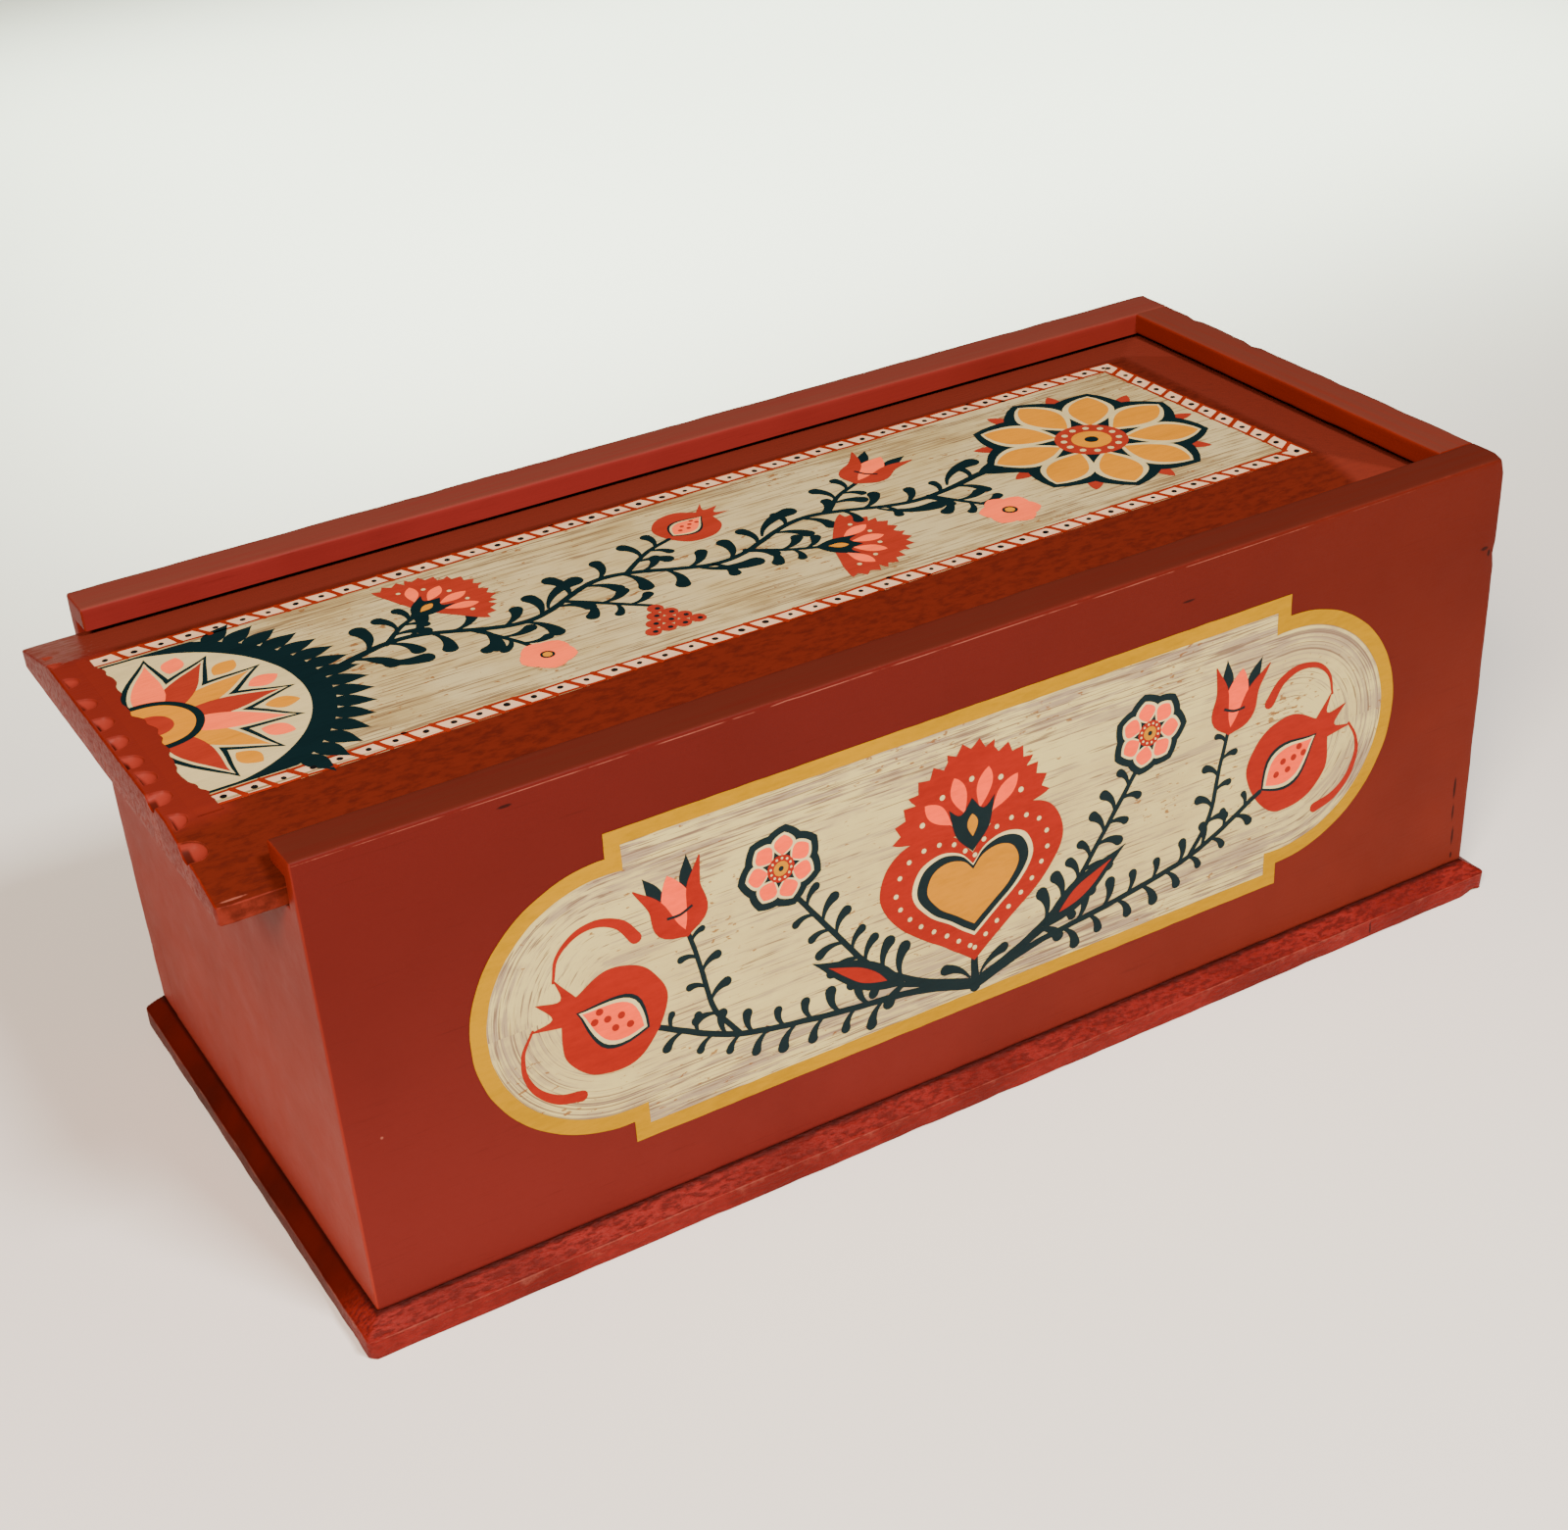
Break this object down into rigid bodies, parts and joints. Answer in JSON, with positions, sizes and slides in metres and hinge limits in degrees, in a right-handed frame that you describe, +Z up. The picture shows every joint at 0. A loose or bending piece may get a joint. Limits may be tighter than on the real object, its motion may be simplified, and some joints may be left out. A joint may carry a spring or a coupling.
{
  "type": "slide-lid candle box",
  "caption": "Oblong painted wooden box: a raised-panel lid with gouged finger notches runs in grooves in the sides and draws out over the low end; the bottom board is chamfered.",
  "frame": {"origin": "centre of the body's footprint, on the flat underside of the bottom board", "axes": "+X along the long sides towards the high end, so the lid draws out towards -X; +Y to the back; +Z up"},
  "size_m": [0.2862, 0.1307, 0.107],
  "materials": {
    "base_paint": "barn-red paint worn thin on the chamfer",
    "body_paint": "satin barn-red paint",
    "lid_paint": "satin barn-red paint with a varnish",
    "brad_steel": "dull drawn wire, heads painted over"
  },
  "bodies": {
    "box": {"base_board": "base_paint", "front_side": "body_paint", "back_side": "body_paint", "low_end": "body_paint", "high_end": "body_paint", "front_corner_brads": "brad_steel", "back_corner_brads": "brad_steel", "base_brads": "brad_steel"},
    "lid": {"lid": "lid_paint"}
  },
  "joints": [
    {"name": "lid_slide", "type": "slide", "parent": "box", "child": "lid", "axis": [-1, 0, 0], "range_m": [0, 0.27]}
  ]
}
